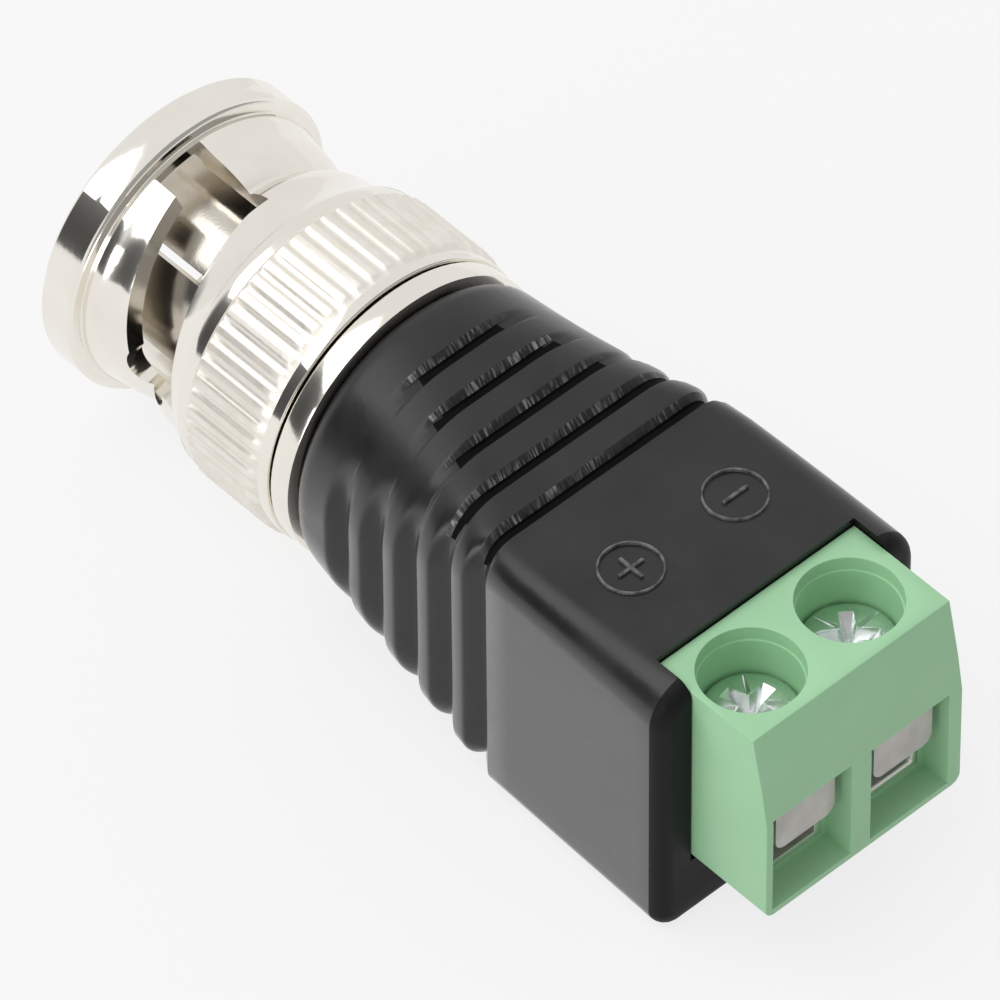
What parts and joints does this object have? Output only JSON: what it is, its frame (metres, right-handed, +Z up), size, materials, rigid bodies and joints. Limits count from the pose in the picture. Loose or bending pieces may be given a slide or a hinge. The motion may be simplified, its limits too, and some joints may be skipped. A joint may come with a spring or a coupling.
{
  "type": "bayonet plug to screw terminal adapter",
  "caption": "Coaxial bayonet plug with knurled cam nut, ribbed black housing and a green screw terminal block for bare wires.",
  "frame": {"origin": "on the plug axis, in the mouth plane of the slotted contact sleeve", "axes": "+X along the plug axis and out of the mouth, +Z up through the driver wells, +Y to the positive pole"},
  "size_m": [0.0386, 0.0132, 0.0139],
  "materials": {
    "nickel": "bright nickel plating",
    "shell_metal": "nickel plating",
    "spring_steel": "plain spring steel",
    "seal": "black rubber",
    "dielectric": "natural insulating plastic",
    "contact_gold": "thin gold plating",
    "housing": "satin black moulding",
    "green": "pale green moulding",
    "tin": "tin plating",
    "guard_steel": "dull stainless sheet",
    "zinc": "zinc plating",
    "copper": "tinned copper",
    "jacket_red": "lead insulation",
    "jacket_black": "lead insulation"
  },
  "bodies": {
    "adapter": {"seal_gasket": "seal", "spring_washer": "spring_steel", "plug_shell": "shell_metal", "body_collar": "nickel", "insulator": "dielectric", "center_pin": "contact_gold", "housing": "housing", "terminal_body": "green", "contact_frame_positive": "tin", "contact_frame_negative": "tin", "signal_lead_core": "copper", "signal_lead_jacket": "jacket_red", "ground_lead_core": "copper", "ground_lead_jacket": "jacket_black"},
    "thrust_washer": {"thrust_washer": "spring_steel"},
    "coupling_nut": {"coupling_nut": "nickel"},
    "wire_guard_positive": {"wire_guard_positive": "guard_steel"},
    "wire_guard_negative": {"wire_guard_negative": "guard_steel"},
    "terminal_screw_positive": {"terminal_screw_positive": "zinc"},
    "terminal_screw_negative": {"terminal_screw_negative": "zinc"}
  },
  "joints": [
    {"name": "nut_slide", "type": "slide", "parent": "adapter", "child": "thrust_washer", "axis": [1, 0, 0], "range_m": [0, 0.00045], "stiffness_N_per_m": 12000, "springref_m": -0.0001, "deforming": ["spring_washer"]},
    {"name": "nut_turn", "type": "hinge", "parent": "thrust_washer", "child": "coupling_nut", "pos_m": [-0.006, 0, 0], "axis": [1, 0, 0], "continuous": true},
    {"name": "guard_lift_positive", "type": "slide", "parent": "adapter", "child": "wire_guard_positive", "axis": [0, 0, 1], "range_m": [-0.00185, 0.00006]},
    {"name": "screw_turn_positive", "type": "hinge", "parent": "wire_guard_positive", "child": "terminal_screw_positive", "pos_m": [-0.03464, 0.00265, 0], "axis": [0, 0, 1], "range_deg": [-1333, 44.2]},
    {"name": "guard_lift_negative", "type": "slide", "parent": "adapter", "child": "wire_guard_negative", "axis": [0, 0, 1], "range_m": [-0.00185, 0.00006]},
    {"name": "screw_turn_negative", "type": "hinge", "parent": "wire_guard_negative", "child": "terminal_screw_negative", "pos_m": [-0.03464, -0.00235, 0], "axis": [0, 0, 1], "range_deg": [-1333, 44.2]}
  ],
  "couplings": [
    {"joint": "screw_turn_positive", "follows": "guard_lift_positive", "rad_per_m": 12566},
    {"joint": "screw_turn_negative", "follows": "guard_lift_negative", "rad_per_m": 12566}
  ]
}
